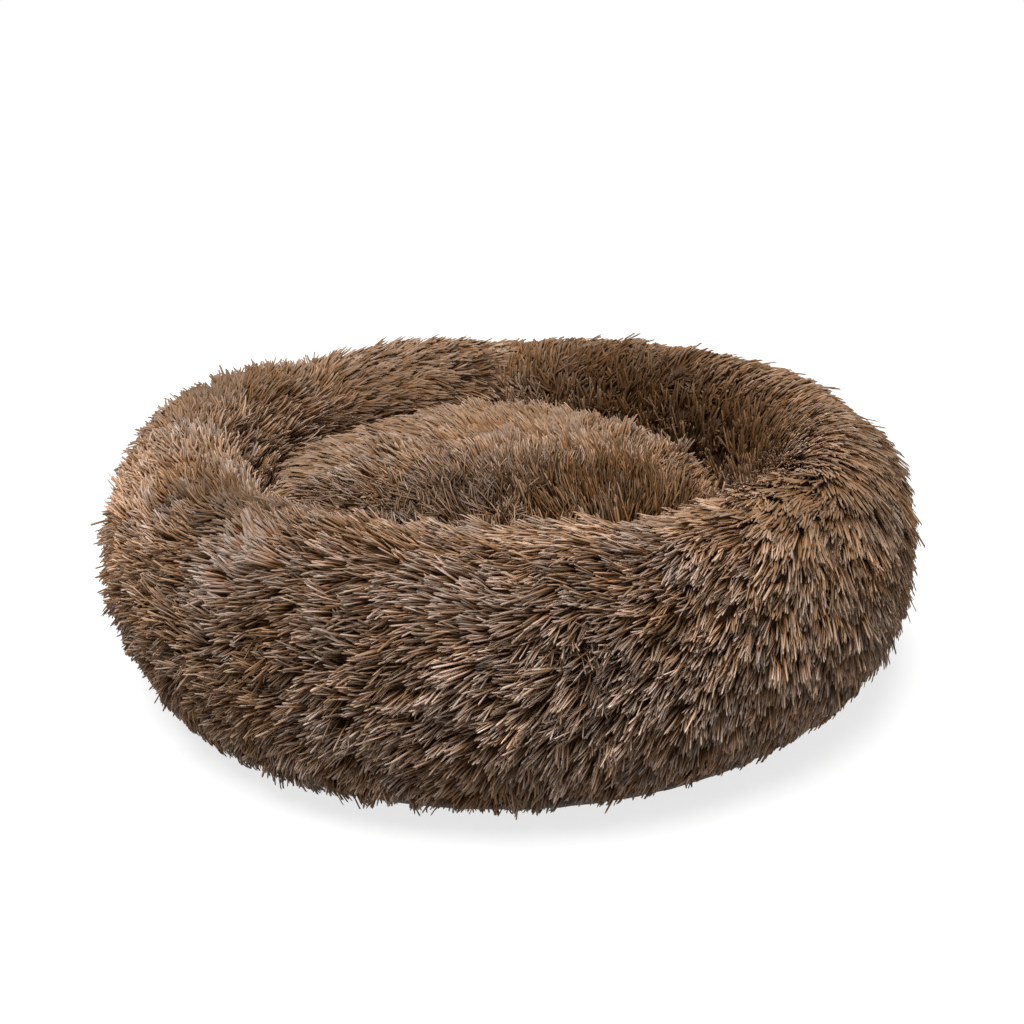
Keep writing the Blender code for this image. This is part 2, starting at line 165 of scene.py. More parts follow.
lamp = bpy.data.objects.new("soft_lamp", bpy.data.lights.new("soft_lamp", "SUN"))
lamp.data.energy, lamp.data.angle = LAMP_STRENGTH, LAMP_SPREAD
lamp.rotation_euler = LAMP_FROM.to_track_quat("Z", "Y").to_euler()
scene.collection.objects.link(lamp)

world = bpy.data.worlds.new("white_sky")
world.use_nodes = True
sky = seen_directly(Shade(world.node_tree)) * (1 - SKY_STRENGTH) + SKY_STRENGTH
background = world.node_tree.nodes["Background"]
background.inputs["Color"].default_value = (1, 1, 1, 1)
world.node_tree.links.new(sky.socket, background.inputs["Strength"])
scene.world = world

fixed = {"Base Color": FLOOR_COLOUR, "Roughness": 0.9, "Emission Strength": 1.0}
material, shade = new_material("floor", fixed)
seen_directly(shade).times(FLOOR_GLOW).feed("Emission Color")
mesh = bpy.data.meshes.new("floor")
corners = [(x * FLOOR_HALF, y * FLOOR_HALF, 0) for x, y in ((-1, -1), (1, -1), (1, 1), (-1, 1))]
mesh.from_pydata(corners, [], [(0, 1, 2, 3)])
mesh.materials.append(material)
ground = bpy.data.objects.new("floor", mesh)
scene.collection.objects.link(ground)
scene.view_settings.view_transform = "Standard"


# The ring's filling: one lump of polyester fibre in the shape of the sewn ring, a little uneven. All of
# the ring's cloths follow the same sewn line at their own offset.
class SewnLine:
    """The section of stuffed cloth, swept round an upright axis.

    A place on it is an angle round the axis and a turn, in degrees: 0 is the outer belly, 90 the crest,
    180 the inner belly and 270 or -90 the foot. With c and s the turn's cosine and sine and p the power of
    its half, the radius is the middle plus the half width times |c| to the 2/p with c's sign, and the
    height is the belly plus the rise or drop times |s| to the 2/p with s's sign. Seams lower the crest.
    """

    def __init__(self, middle, belly, half_width, rise, drop, powers, centre=0.0, seams=()):
        self.middle, self.belly, self.half_width = middle, belly, half_width
        self.rise, self.drop, self.powers = rise, drop, powers
        self.centre, self.seams = centre, seams
        self.turns = np.linspace(-90, 270, 1441)
        steps = np.diff(self.section(0.5 * sum(seams[:2]), self.turns)[0], axis=0)
        self.run = np.concatenate([[0], np.cumsum(np.linalg.norm(steps, axis=1))])

    def section(self, angle, turn, offset=0.0):
        """Points that stand off the cloth by an offset, and the cloth's normals there."""
        angle, turn, offset = np.broadcast_arrays(angle, turn, offset)
        c, s = np.cos(np.radians(turn)), np.sin(np.radians(turn))
        power = np.where(s >= 0, *self.powers)
        height = np.where(s >= 0, self.rise - self.seam_dip(angle), self.drop)
        c_share, s_share = np.abs(c) ** (2 / power), np.abs(s) ** (2 / power)
        across = c * np.abs(c) ** (1 - 2 / power) / self.half_width
        up = s * np.abs(s) ** (1 - 2 / power) / height
        long = np.hypot(across, up)
        radius = self.middle + self.half_width * np.sign(c) * c_share + offset * across / long
        z = self.belly + height * np.sign(s) * s_share + offset * up / long
        cos, sin = np.cos(np.radians(angle)), np.sin(np.radians(angle))
        points = np.stack([self.centre + radius * cos, radius * sin, z], -1)
        return points, np.stack([cos * across / long, sin * across / long, up / long], -1)

    def seam_dip(self, angle):
        """How far the seams between panels draw the crest in: a bell curve round each."""
        away = [(angle - seam + 180) % 360 - 180 for seam in self.seams]
        return SEAM_DIP * sum(np.exp(-((a / SEAM_DIP_SPREAD) ** 2)) for a in away) + 0 * angle

    def beside(self, turn, along):
        """The turn that lies a length along the cloth from another."""
        return np.interp(np.interp(turn, self.turns, self.run) + along, self.run, self.turns)

    def turn_at(self, height, inner=False):
        """The turn of the lower half at a height, on the outer or the inner side."""
        share = (self.belly - height) / self.drop
        turn = math.degrees(math.asin(share ** (self.powers[1] / 2)))
        return 180 + turn if inner else -turn


SEAM_DIP, SEAM_DIP_SPREAD = 0.004, 9.0
SEAM_ANGLES = (7.5, 90.0, 135.0, 217.5, 292.5)
SEWN_GAP, BAG_CLOTH = 0.0003, 0.0010
ring = SewnLine(middle=0.2405, belly=0.0895, half_width=0.0515, rise=0.0805, drop=0.088, powers=(2.0, 2.5),
                seams=SEAM_ANGLES)


def drift(points, wavelength, seed, waves=24):
    """Smooth chance values, mostly within -2 to 2: sine waves of about one length in as many chance
    directions, summed and divided by the root of half their number."""
    rng = np.random.default_rng(seed)
    ways = rng.normal(size=(3, waves))
    ways *= 2 * np.pi / wavelength / np.linalg.norm(ways, axis=0) * rng.uniform(0.7, 1.3, waves)
    return np.sin(points @ ways + rng.uniform(0, 2 * np.pi, waves)).sum(-1) / math.sqrt(waves / 2)


def new_piece(name, mesh, material, body, slot, nodes=()):
    """Puts a finished mesh on its body, with the CAD nodes that it stands for. The slot is not used."""
    mesh.materials.append(material)
    piece = bpy.data.objects.new(name, mesh)
    scene.collection.objects.link(piece)
    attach(piece, body)
    if nodes:
        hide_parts(*nodes)
    return piece


def swept_piece(name, rows, *rest, whole=True):
    """A piece with a closed mesh from closed outlines, rows[k] being the one at the k-th angle.

    Quads join each outline to the next. A whole round joins the last to the first, and a part of one
    has each end capped by a strip between the outline's two halves. Points that fall together are merged.
    Corners keep their distance along the sweep and along the outline, which weaves and ribs follow.
    The rest is what new_piece takes after the mesh.
    """
    count, size = rows.shape[:2]
    k, m = np.meshgrid(np.arange(count if whole else count - 1), np.arange(size), indexing="ij")
    corners = [(k, m), (k + 1, m), (k + 1, m + 1), (k, m + 1)]
    faces = np.stack([(a % count) * size + b % size for a, b in corners], -1).reshape(-1, 4)
    spread = np.stack([np.stack([a / count, b / size], -1) for a, b in corners], 2).reshape(-1, 2)
    if not whole:
        m = np.arange(size // 2 - 1)
        cap = np.stack([m, m + 1, size - 2 - m, size - 1 - m], -1)
        faces = np.concatenate([faces, cap, cap + (count - 1) * size])
        spread = np.concatenate([spread, np.zeros((8 * len(m), 2))])
    mesh = bpy.data.meshes.new(name)
    mesh.from_pydata(rows.reshape(-1, 3).tolist(), [], faces.tolist())
    mesh.uv_layers.new(name="OFBake").uv.foreach_set("vector", spread.astype(np.float32).ravel())
    lengths = [np.linalg.norm(np.diff(rows, axis=axis), axis=-1).sum(axis).mean() for axis in (0, 1)]
    for mark, share, length in zip(("along", "across"), spread.T, lengths):
        values = (share * length).astype(np.float32)
        mesh.attributes.new(mark, "FLOAT", "CORNER").data.foreach_set("value", values)
    shape = bmesh.new()
    shape.from_mesh(mesh)
    bmesh.ops.remove_doubles(shape, verts=shape.verts, dist=1e-6)
    bmesh.ops.delete(shape, geom=[edge for edge in shape.edges if not edge.link_faces], context="EDGES")
    bmesh.ops.recalc_face_normals(shape, faces=shape.faces)
    shape.to_mesh(mesh)
    shape.free()
    mesh.shade_smooth()
    return new_piece(name, mesh, *rest)


def layer_rows(line, angles, turns, outer, inner):
    """Outlines of one layer of cloth: out along the turns at the outer offsets, back at the inner ones."""
    angles, turns = np.asarray(angles)[:, None], np.asarray(turns)[None, :]
    outside = line.section(angles, turns, outer)[0]
    inside = line.section(angles, turns, inner)[0]
    return np.concatenate([outside, inside[:, ::-1]], 1)


def whole_round(step):
    return np.arange(0, 360, step)


def arc(first, last, step):
    return np.linspace(first, last, round((last - first) / step) + 1)


fill_finish, shade = new_material("fibre_fill", {"Roughness": 1.0, "Sheen Weight": 0.3})
tangle = shade.noise(260, 5, Distortion=1.5)
tangle.mix((0.74, 0.74, 0.73, 1), (0.93, 0.93, 0.92, 1)).feed("Base Color")
tangle.bump(0.6, 0.002)

FILL_DEPTH, BACK_DEPTH, FILL_LUMPS = 0.0016, 0.0045, 0.0006


def stuffing_rows(line, turns):
    """The filling's skin: under the bag, deeper on the low side with the zip, and pushed in by drift."""
    depth = np.where((turns < -20) | (turns > 200), BACK_DEPTH, FILL_DEPTH) + FILL_LUMPS
    rows, out = line.section(whole_round(4.0)[:, None], turns, -depth)
    return rows + out * (FILL_LUMPS / 2 * np.clip(drift(rows, 0.03, 1), -2, 0))[..., None]


rows = stuffing_rows(ring, np.linspace(-90, 266, 90))
piece = swept_piece("bolster_filling", rows, fill_finish, "bed", "fill", ["bolster_fill"])


# The ring's inner bag: two rings of point-bonded nonwoven, sewn together at the outer and inner belly,
# which keep the fibre in when the cover goes to the wash.
bag_finish, shade = new_material("nonwoven", {"Roughness": 0.9})
place = shade.node("TexCoord", output=3)
dots = shade.node("TexVoronoi", {"feature": "F1"}, {"Vector": place, "Scale": 420})
press = dots.node("ValToRGB", {"stops": ((0.25, 0.0), (0.45, 1.0))}, {0: dots})
(press * 0.7 + shade.noise(900, 3) * 0.3).mix((0.62, 0.61, 0.58, 1), (0.84, 0.83, 0.8, 1)).feed("Base Color")
press.bump(0.4, 0.0003)

BACK_ROOM = 0.0032


def build_bag(name, line, zip_turns, halves, body, node):
    """A bag's halves, under the cover by the sewn gap or, between the zip's turns, by the zip's room."""
    for half, kind, turns in zip(("top", "bottom"), ("upper", "lower"), halves):
        depth = np.interp(turns, zip_turns, (SEWN_GAP, BACK_ROOM, BACK_ROOM, SEWN_GAP))
        rows = layer_rows(line, whole_round(4.0), turns, -depth, -depth - BAG_CLOTH)
        swept_piece(name + "_bag_" + half, rows, bag_finish, body, "bag", [node + "_bag_" + kind])


half_gap = SEWN_GAP / 2
halves = (np.linspace(ring.beside(0, half_gap), ring.beside(180, -half_gap), 44),
          np.linspace(ring.beside(180, half_gap), 360 + ring.beside(0, -half_gap), 50))
build_bag("ring", ring, (290, 300, 335, 345), halves, "bed", "bolster")


# The base: a round of close dark polyester cloth on the floor, its underside set with rows of soft
# grip dots so that the bed doesn't slide, and a band of the same cloth that turns up round the belly.
BASE_THREAD, BASE_CLOTH, GRIP_HEIGHT, BASE_RIM = 0.0008, 0.0012, 0.0004, 0.253
GRIP_SPACING, GRIP_RADIUS, GRIP_REACH, GRIP_TAPER = 0.016, 0.0019, 0.240, 0.7
GRIP_ROOT = 1.2 * GRIP_HEIGHT
BAND_LOW_HEIGHT, CHANNEL_WIDTH, ZIP_HEIGHT, PUCKER = 0.0025, 0.0100, 0.024, 0.0005


def woven_finish(name, dark, light, thread, roughness):
    """A plain weave: threads along and across the cloth, each a sine wave, crossing over and under."""
    material, shade = new_material(name, {"Roughness": roughness})
    warp, weft = shade.mark("across").wave(thread), shade.mark("along").wave(thread)
    weave = warp * weft + (1 - warp) * (1 - weft)
    (weave * 0.5 + shade.noise(40, 4) * 0.5).mix(dark, light).feed("Base Color")
    weave.bump(0.5, thread / 3)
    return material


dark, light = (0.035, 0.026, 0.021, 1), (0.115, 0.085, 0.07, 1)
base_finish = woven_finish("base_cloth", dark, light, BASE_THREAD, 0.8)


def disc_rows(radii, low, high):
    """Outlines of a flat round: out along its underside at the radii, and back along its upper side."""
    turned = np.radians(whole_round(3.0))[:, None]
    across = np.concatenate([radii, radii[::-1]])
    z = np.concatenate([low + 0 * radii, (high + 0 * radii)[::-1]])
    return np.stack(np.broadcast_arrays(across * np.cos(turned), across * np.sin(turned), z), -1)


radii = np.append(np.linspace(0, BASE_RIM - 0.004, 10), BASE_RIM - np.array([0.002, 0.0006, 0.0]))
hem_roll = np.append(np.zeros(10), [0.0003, 0.0001, -0.0002])
rows = disc_rows(radii, GRIP_HEIGHT - hem_roll, BASE_CLOTH)
swept_piece("base_round", rows, base_finish, "bed", "base", ["base_fabric"])

grip_finish, shade = new_material("grip_rubber", {"Roughness": 0.55})
shade.noise(60, 3).mix((0.02, 0.017, 0.015, 1), (0.06, 0.05, 0.045, 1)).feed("Base Color")


def grip_mesh():
    """Six-sided domed dots on a grid of triangles, all within a circle. Each is a ring on the cloth, a
    smaller ring on the floor, and a middle point at each end."""
    steps = np.arange(-30, 31)
    row, column = np.meshgrid(steps, steps, indexing="ij")
    x, y = GRIP_SPACING * (column + row % 2 / 2), GRIP_SPACING * math.sqrt(0.75) * row
    inside = np.hypot(x, y) < GRIP_REACH
    around = np.radians(60 * np.arange(6))
    rim = np.stack([np.cos(around), np.sin(around), 0 * around], -1)
    root = [0, 0, GRIP_ROOT]
    dot = np.concatenate([rim * GRIP_RADIUS + root, rim * GRIP_RADIUS * GRIP_TAPER, [root, [0, 0, 0]]])
    places = np.stack([x[inside], y[inside], 0 * x[inside]], -1)
    points = (places[:, None] + dot[None]).reshape(-1, 3)
    k, after, top, foot = np.arange(6), (np.arange(6) + 1) % 6, np.full(6, 12), np.full(6, 13)
    wedges = (k, k + 6, after + 6), (k, after + 6, after), (k, after, top), (k + 6, foot, after + 6)
    one = np.concatenate([np.stack(wedge, -1) for wedge in wedges])
    faces = (np.arange(len(places))[:, None, None] * len(dot) + one[None]).reshape(-1, 3)
    mesh = bpy.data.meshes.new("base_grip_dots")
    mesh.from_pydata(points.tolist(), [], faces.tolist())
    spread = points[faces.ravel(), :2] / (2 * BASE_RIM) + 0.5
    mesh.uv_layers.new(name="OFBake").uv.foreach_set("vector", spread.astype(np.float32).ravel())
    mesh.shade_smooth()
    return mesh


new_piece("base_grip_dots", grip_mesh(), grip_finish, "bed", "base")


class ZipLine:
    """Where a zip runs round stuffed cloth: up along the cloth and out from it, at one turn of its line."""

    def __init__(self, line, height):
        self.line, self.turn = line, line.turn_at(height)
        nudge = 0.01
        points, normals = line.section(0.0, self.turn + np.array([-nudge, 0, nudge]))
        self.radius, self.height = points[1, 0] - line.centre, points[1, 2]
        self.up = (points[2] - points[0])[[0, 2]] / np.linalg.norm(points[2] - points[0])
        self.out = normals[1][[0, 2]]

    def place(self, angle, up, out):
        """Points at angles, each moved up along the cloth and out from it."""
        angle, up, out = np.broadcast_arrays(angle, up, out)
        radius = self.radius + up * self.up[0] + out * self.out[0]
        z = self.height + up * self.up[1] + out * self.out[1]
        turned = np.radians(angle)
        return np.stack([self.line.centre + radius * np.cos(turned), radius * np.sin(turned), z], -1)

    def hem(self, side):
        """The turn of the cloth's hem on one side of the chain: -1 below it, 1 above it."""
        return self.line.beside(self.turn, side * CHANNEL_WIDTH / 2)


cover_zip = ZipLine(ring, ZIP_HEIGHT)
turns = np.linspace(ring.turn_at(BAND_LOW_HEIGHT + SEWN_GAP), cover_zip.hem(-1), 14)
angles = whole_round(1.5)[:, None]
puckers = PUCKER * np.clip(drift(ring.section(angles, turns)[0] * [1, 1, 0.2], 0.012, 2) / 2, 0, 1)
hem = np.append(np.ones(12), [1.5, 0.9])
rows = layer_rows(ring, whole_round(1.5), turns, (SEWN_GAP + BASE_CLOTH * hem) + puckers, SEWN_GAP)
swept_piece("base_band", rows, base_finish, "bed", "base", ["base_side_band"])


# The floor of the well: a round of plain brown lining, sewn in under the ring's inside, that shows
# only when the cushion is out.
LINING_THREAD, WELL_LOW, WELL_HIGH = 0.0006, 0.0015, 0.0027
dark, light = (0.085, 0.055, 0.038, 1), (0.18, 0.12, 0.085, 1)
lining_finish = woven_finish("lining_cloth", dark, light, LINING_THREAD, 0.85)
WELL_RADIUS = float(ring.section(0.0, ring.turn_at(WELL_HIGH + 2 * SEWN_GAP, inner=True))[0][0])
radii = np.linspace(0, WELL_RADIUS, 26)
rows = disc_rows(radii, WELL_LOW, WELL_HIGH)
creases = 0.0003 * np.clip(drift(rows * [1, 1, 0], 0.05, 3), -1.5, 0)
rows[:, 26:, 2] += creases[:, 26:]
swept_piece("well_lining", rows, lining_finish, "bed", "lining", ["well_floor"])


# The cover's zip, low on the belly round the back: woven tapes sewn behind the hems, a nylon coil on
# each, metal stops at both ends, and a cast slider with its pull. It opens the cover for the wash.
CHANNEL_FIRST, CHANNEL_LAST, ZIP_FIRST, ZIP_LAST = 15.0, 165.0, 18.75, 161.25
CHAIN_GAP, COIL_WIDTH, COIL_HEIGHT = 0.0016, 0.0024, 0.0018
TAPE_WIDTH, TAPE_CLOTH, TAPE_SINK = 0.0122, 0.0007, 0.0005
SLIDER_WIDTH, COIL_PITCH, COIL_WIRE, COIL_STATIONS = 0.0084, 0.0015, 0.0003, 6

tape_finish, shade = new_material("zip_tape", {"Roughness": 0.85})
fold = shade.maths("PINGPONG", shade.mark("across"), 0.003)
twill = (shade.mark("along") + fold).wave(0.0009)
(twill * 0.6 + shade.noise(70, 3) * 0.4).mix(
    (0.05, 0.032, 0.022, 1), (0.15, 0.1, 0.07, 1)).feed("Base Color")
twill.bump(0.5, 0.0003)

coil_finish, shade = new_material("nylon_coil", {"Roughness": 0.42, "Specular IOR Level": 0.5})
shade.noise(500, 2).mix((0.09, 0.058, 0.04, 1), (0.17, 0.115, 0.08, 1)).feed("Base Color")

metal_finish, shade = new_material("painted_zinc", {"Metallic": 0.6, "Coat Roughness": 0.3})
rubbed = shade.noise(600, 4)
worn = shade.node("ValToRGB", {"stops": ((0.4, 0.0), (0.9, 1.0))}, {0: rubbed})
worn.mix((0.26, 0.215, 0.17, 1), (0.4, 0.34, 0.275, 1)).feed("Base Color")
(worn * -0.15 + 0.45).feed("Roughness")
rubbed.bump(0.15, 0.0001)


def tape_rows(zip_line, side):
    """A tape, flat beside the chain and then bent along the cloth that it is sewn behind, with a thicker
    woven edge."""
    angles = arc(CHANNEL_FIRST + 0.03, CHANNEL_LAST - 0.03, 1.0)[:, None]
    bend = SLIDER_WIDTH / 2 + SEWN_GAP
    flat = side * np.array([CHAIN_GAP / 2, 0.0015, 0.0030, bend])
    beyond = np.linspace(bend + 0.0015, CHAIN_GAP / 2 + TAPE_WIDTH, 7)
    far = zip_line.line.beside(zip_line.turn, side * beyond)
    bead = np.array([0, 0, 0, 0, 0, 0.0002, 0.0001])

    def at(depth):
        outer = zip_line.line.section(angles, far, -depth + bead)[0]
        return np.concatenate([zip_line.place(angles, flat, -depth), outer], 1)

    return np.concatenate([at(TAPE_SINK), at(TAPE_SINK + TAPE_CLOTH)[:, ::-1]], 1)


def coil_rows(zip_line, side):
    """A nylon wire wound round the tape's edge: an oval helix whose wire is four-sided.

    At a phase p the wire's middle is half the coil's width times -cos p across from its middle, and
    half its height times sin p out from it, and the wire goes one pitch along the tape each round.
    """
    rounds = round(math.radians(ZIP_LAST - ZIP_FIRST) * zip_line.radius / COIL_PITCH)
    phase = 2 * np.pi * np.arange(rounds * COIL_STATIONS + 1)[:, None] / COIL_STATIONS
    angle = ZIP_FIRST + (ZIP_LAST - ZIP_FIRST) * phase / phase[-1]
    face = np.radians([45, 135, 225, 315])[None, :]
    width, height = COIL_WIDTH / 2 - COIL_WIRE, COIL_HEIGHT / 2 - COIL_WIRE
    up = CHAIN_GAP / 2 + COIL_WIDTH / 2 - (width + COIL_WIRE * np.cos(face)) * np.cos(phase)
    middle = SEWN_GAP - TAPE_SINK + COIL_HEIGHT / 2
    out = middle + (height + COIL_WIRE * np.cos(face)) * np.sin(phase)
    return zip_line.place(angle + np.degrees(COIL_WIRE * np.sin(face) / zip_line.radius), side * up, out)


def cast_piece(name, node, body):
    """A CAD node's own shape with its points merged and its corners rounded, as a casting's are."""
    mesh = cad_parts[node].data.copy()
    mesh.materials.clear()
    shape = bmesh.new()
    shape.from_mesh(mesh)
    bmesh.ops.remove_doubles(shape, verts=shape.verts, dist=1e-6)
    bmesh.ops.dissolve_limit(shape, angle_limit=math.radians(1), verts=shape.verts, edges=shape.edges)
    shape.to_mesh(mesh)
    shape.free()
    piece = new_piece(name, mesh, metal_finish, body, "slider_metal", [node])
    rounded = piece.modifiers.new("rounded", "BEVEL")
    rounded.width, rounded.segments, rounded.limit_method = 0.00014, 2, "ANGLE"
    rounded.angle_limit = math.radians(40)
    return piece


def build_zip(prefix, zip_line, body):
    """The tapes and coils of one zip, its stops, and the slider and pull on their own bodies."""
    for name, side in (("upper", 1), ("lower", -1)):
        for kind, rows, finish in (("tape", tape_rows, tape_finish), ("coil", coil_rows, coil_finish)):
            swept_piece(prefix + "_" + kind + "_" + name, rows(zip_line, side), finish, body, kind,
                        [prefix + "_zip_" + kind + "_" + name], whole=False)
    for part, rides_on in {"start_stop": body, "end_stop": body, "slider": prefix + "_slider",
                           "pull": prefix + "_pull"}.items():
        cast_piece(prefix + "_" + part + "_cast", prefix + "_zip_" + part, rides_on)


build_zip("cover", cover_zip, "bed")


# The binding: a ribbed tape that covers the seam between band and fur where there is no zip, held by
# a row of stitches along each edge. The pile hangs over it.
BINDING_CLOTH, RIB = 0.0020, 0.0011

binding_finish, shade = new_material("ribbed_tape", {"Roughness": 0.85})
ribs = shade.mark("along").wave(RIB)
(ribs * 0.6 + shade.noise(90, 3) * 0.4).mix(
    (0.055, 0.036, 0.025, 1), (0.165, 0.115, 0.08, 1)).feed("Base Color")
ribs.bump(0.5, 0.0003)

# The tufts and threads: many short strands in one mesh, each a bent, tapered prism of three sides.
STRAND_SHARES = np.array([0.0, 0.45, 0.92, 1.0])
WIDTH_SHARES = np.array([0.65, 1.0, 0.9])
TUFT_FLATNESS = 0.75
LEAST_SOFT, EVEN_SOFT = 0.05, 0.6


def strand_faces():
    """The faces of one strand, as lists of (point, across, along) for each corner.

    Points run ring by ring, three to a ring, and the tip is the last one.
    """
    rings = len(WIDTH_SHARES)
    faces = [[(2, 2, 0), (1, 1, 0), (0, 0, 0)]]
    for k in range(rings):
        for j in range(3):
            low, after = 3 * k, (j + 1) % 3
            beyond = [(low + 3 + after, j + 1, k + 1), (low + 3 + j, j, k + 1)]
            if k == rings - 1:
                beyond = [(3 * rings, j + 0.5, rings)]
            faces.append([(low + j, j, k), (low + after, j + 1, k), *beyond])
    return faces


def strand_piece(name, strands, normals, width, marks, *rest):
    """A piece of many strands, from an array of stations x strands x 3.

    Each station but the last has a triangle round it, square to the strand, at its share of the
    strand's width and flatter towards the cloth. The last station is the tip. Marks are one number for
    each strand, kept at its points. The more even tufts are, the more they are shaded as the cloth is.
    """
    stations, count = strands.shape[:2]
    way = np.gradient(strands, axis=0)
    side = np.cross(way, normals)
    side /= np.linalg.norm(side, axis=-1, keepdims=True)
    rise = np.cross(side, way)
    rise /= np.linalg.norm(rise, axis=-1, keepdims=True)
    round_to = np.radians([90, -30, -150])[None, :, None, None]
    reach = (WIDTH_SHARES[:, None] * width[None, :])[:, None, :, None]
    sideways, upward = np.cos(round_to) * side[:-1, None], np.sin(round_to) * rise[:-1, None]
    rings = strands[:-1, None] + reach * (sideways + TUFT_FLATNESS * upward)
    each = 3 * (stations - 1) + 1
    points = np.concatenate([rings.reshape(-1, count, 3), strands[-1:]]).transpose(1, 0, 2)

    pattern = strand_faces()
    sizes = np.array([len(face) for face in pattern])
    corners = np.array([corner for face in pattern for corner in face])
    index = (np.arange(count)[:, None] * each + corners[:, 0].astype(int)).ravel()
    columns = math.ceil(math.sqrt(count))
    cell = np.stack([np.arange(count) % columns, np.arange(count) // columns], -1)[:, None, :]
    inside = np.stack([corners[:, 1] / 3, STRAND_SHARES[corners[:, 2].astype(int)]], -1)
    spread = ((cell + 0.08 + 0.84 * inside[None]) / columns).astype(np.float32)

    mesh = bpy.data.meshes.new(name)
    mesh.vertices.add(count * each)
    mesh.vertices.foreach_set("co", points.astype(np.float32).ravel())
    mesh.loops.add(len(index))
    mesh.loops.foreach_set("vertex_index", index.astype(np.int32))
    starts = np.concatenate([[0], np.cumsum(np.tile(sizes, count))[:-1]])
    mesh.polygons.add(len(starts))
    mesh.polygons.foreach_set("loop_start", starts.astype(np.int32))
    mesh.update(calc_edges=True)
    mesh.uv_layers.new(name="OFBake").uv.foreach_set("vector", spread.ravel())
    along = np.repeat(STRAND_SHARES, 3)[:each]
    across = np.tile([0, 0.5, 1.0], stations)[:each]
    for mark, values in {"strand": np.tile(along, count), "across": np.tile(across, count),
                         **{key: np.repeat(value, each) for key, value in marks.items()}}.items():
        mesh.attributes.new(mark, "FLOAT", "POINT").data.foreach_set("value", values.astype(np.float32))
    mesh.shade_smooth()
    if "even" in marks:
        soft = LEAST_SOFT + EVEN_SOFT * marks["even"]
        around = (sideways + upward).reshape(-1, count, 3)
        around = np.concatenate([around, way[-1:]]).transpose(1, 0, 2)
        around /= np.linalg.norm(around, axis=-1, keepdims=True)
        cloth = np.repeat(normals, 3, axis=0)[:each].transpose(1, 0, 2)
        toward = around + soft[:, None, None] * (cloth - around)
        mesh.normals_split_custom_set_from_vertices(toward.reshape(-1, 3))
    return new_piece(name, mesh, *rest)


STITCH, STITCH_GAP, THREAD_RADIUS = 0.0032, 0.0012, 0.00022

thread_finish, shade = new_material("sewing_thread", {"Roughness": 0.6})
twist = (shade.mark("strand") * STITCH + shade.mark("across") * 0.0004).wave(0.0005)
twist.mix((0.08, 0.052, 0.036, 1), (0.2, 0.14, 0.1, 1)).feed("Base Color")


def build_stitches(name, zip_line, edges, span, high, body):
    """Rows of stitches along a zip's channel, each coming up out of the cloth and dipping back."""
    step = math.degrees((STITCH + STITCH_GAP) / zip_line.radius)
    angle = np.tile(np.arange(span[0] + step, span[1] - step, step), len(edges))
    up = np.repeat(edges, len(angle) // len(edges))
    share = STRAND_SHARES[:, None]
    lift = high + THREAD_RADIUS * np.array([-2.0, 0.8, 0.5, -2.0])[:, None]
    strands = zip_line.place(angle + share * math.degrees(STITCH / zip_line.radius), up, lift)
    normals = zip_line.place(angle, up, 1.0) - zip_line.place(angle, up, 0.0)
    width = np.full(len(angle), THREAD_RADIUS)
    strand_piece(name, strands, normals, width, {}, thread_finish, body, "binding")


def build_binding(name, zip_line, body, node):
    """A flat tape with rounded edges in the channel, from the zip's last end round to its first."""
    reach, half = CHANNEL_WIDTH / 2 - SEWN_GAP, BINDING_CLOTH / 2
    across = np.append(np.linspace(-reach, reach - 0.0005, 9), reach)
    thick = half * np.array([0.5, 1, 1, 1, 1, 1, 1, 1, 1, 0.5])
    up = np.concatenate([across, across[::-1]])
    out = np.concatenate([thick, -thick])
    rows = zip_line.place(arc(CHANNEL_LAST + 0.03, CHANNEL_FIRST + 359.97, 1.0)[:, None], up, out)
    swept_piece(name, rows, binding_finish, body, "binding", [node], whole=False)
    build_stitches(name + "_stitches", zip_line, (-reach * 0.7, reach * 0.7),
                   (CHANNEL_LAST, CHANNEL_FIRST + 360), half, body)


build_binding("belly_binding", cover_zip, "bed", "seam_binding")


# The ring's fur cover: five lengths of long-pile faux fur sewn edge to edge along radial seams. Each has
# a knitted backing and a pile of long fibres that cling together in tufts, and the tufts in locks.
backing_finish, shade = new_material("fur_backing", {"Roughness": 0.95})
# Its own dark brown, made warmer to also paint the warm shade seen between the tufts.
shade.noise(300, 4).mix((0.04, 0.018, 0.008, 1), (0.095, 0.046, 0.02, 1)).feed("Base Color")

fur_finish, shade = new_material("faux_fur", {"Roughness": 0.65, "Specular IOR Level": 0.05})
GREY_TIP, TAN_TIP = (0.54, 0.435, 0.37, 1), (0.575, 0.373, 0.24, 1)
GOLDEN_TIP, GOLDEN_STEM_AND_SHADE = (0.47, 0.235, 0.1, 1), (0.375, 0.155, 0.041, 1)
strand, across, tone, warmth, even = map(shade.mark, ("strand", "across", "tone", "warmth", "even"))
# Streaks along each strand, from noise stretched along it: partly the fibres' own variation, partly painted
# highlights on pale fibres.
fibre_place = shade.node("CombineXYZ", {}, {0: across * 5 + tone * 91, 1: strand * 2.0, 2: tone * 57})
fibres = shade.node("TexNoise", {}, {"Vector": fibre_place, "Scale": 1.0, "Detail": 2})
# Each strand darkens towards its root: partly its darker undercoat, partly painted shade deep in the pile.
# Evenness takes most of it back.
depth = shade.node("ValToRGB", {"stops": ((0.0, 0.05), (1.0, 1.0), (0.28, 0.28), (0.58, 0.82))}, {0: strand})
depth = depth + even * (1 - depth) * 0.85
# Towards the root the colour turns to the golden stem's, which is the stems' own gold and also painted warm
# shade in the pile.
near_tip = shade.node("ValToRGB", {"stops": ((0.24, 0.0), (0.8, 1.0))}, {0: strand})
